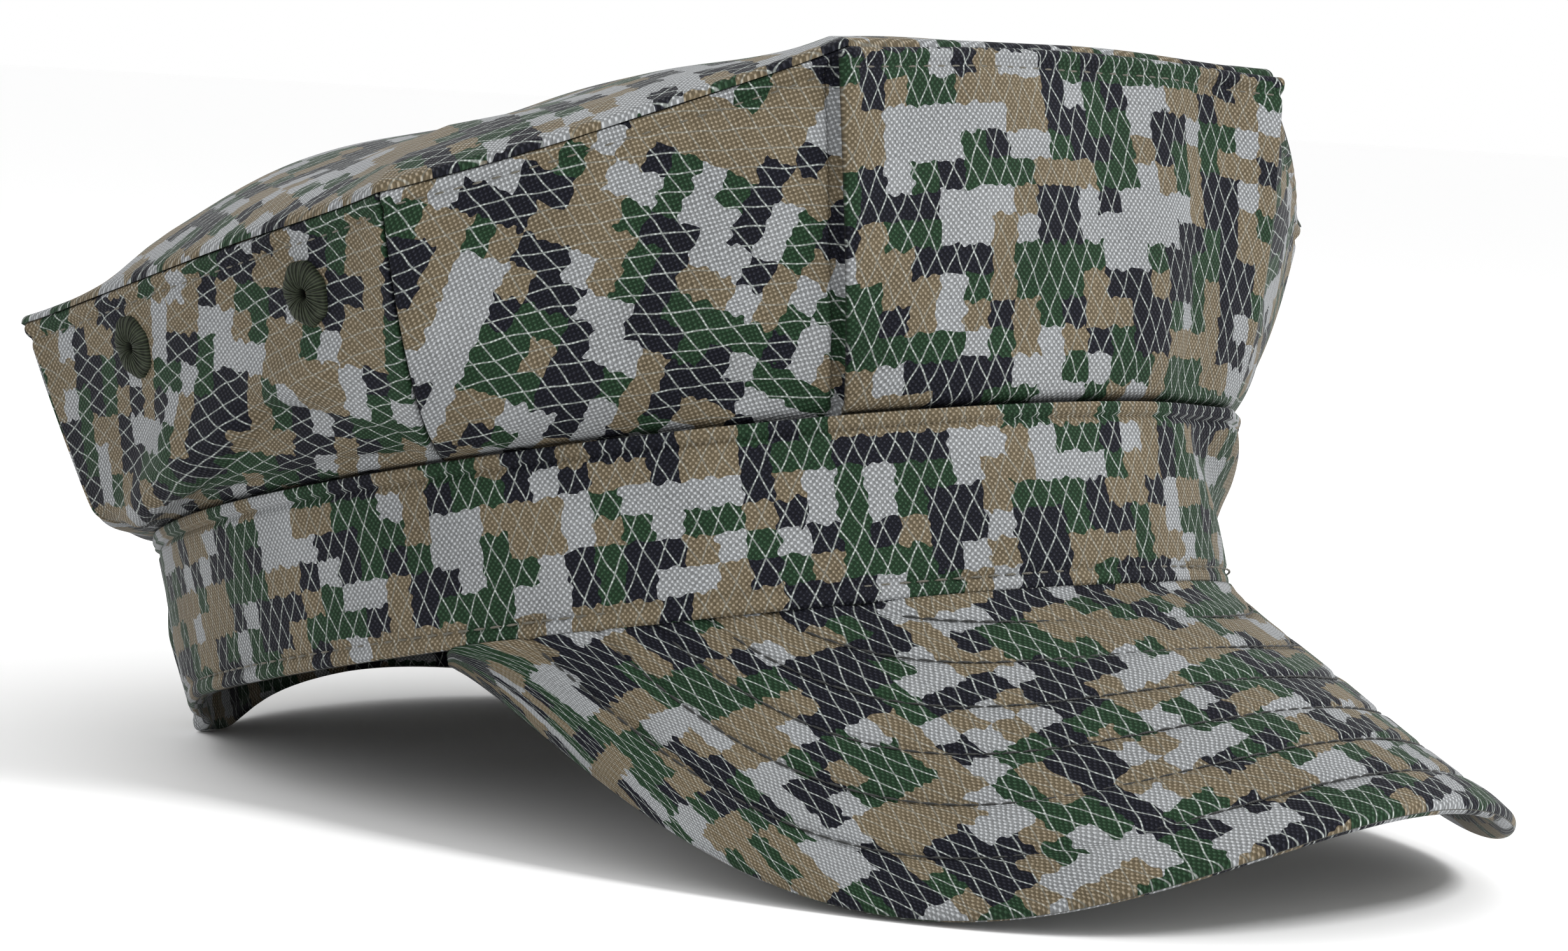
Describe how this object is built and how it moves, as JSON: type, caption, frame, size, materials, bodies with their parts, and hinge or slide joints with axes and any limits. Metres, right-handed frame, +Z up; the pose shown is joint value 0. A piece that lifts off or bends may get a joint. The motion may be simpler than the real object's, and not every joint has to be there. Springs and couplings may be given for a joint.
{
  "type": "eight-point cap",
  "caption": "Soft eight-point utility cap: low band, flared eight-panel crown with an octagonal top, drooping stitched peak and sewn ventilation eyelets.",
  "frame": {"origin": "on the table plane, under the middle of the cap's bounding box", "axes": "+Z up, -Y the way the peak points, +X to the wearer's left; the cap stands on the peak's two low edges and the rim's two low folds"},
  "size_m": [0.216, 0.2794, 0.1313],
  "materials": {
    "camouflage_cloth": "matt plain weave printed in a four-colour block camouflage",
    "eyelet_thread": "satin embroidery thread"
  },
  "bodies": {
    "root": {"band": "camouflage_cloth", "front_panel": "camouflage_cloth", "side_front_panel_left": "camouflage_cloth", "side_rear_panel_left": "camouflage_cloth", "rear_side_panel_left": "camouflage_cloth", "back_panel": "camouflage_cloth", "rear_side_panel_right": "camouflage_cloth", "side_rear_panel_right": "camouflage_cloth", "side_front_panel_right": "camouflage_cloth", "crown_top": "camouflage_cloth", "peak": "camouflage_cloth", "eyelet_front_left": "eyelet_thread", "eyelet_rear_left": "eyelet_thread", "eyelet_front_right": "eyelet_thread", "eyelet_rear_right": "eyelet_thread"}
  },
  "joints": []
}
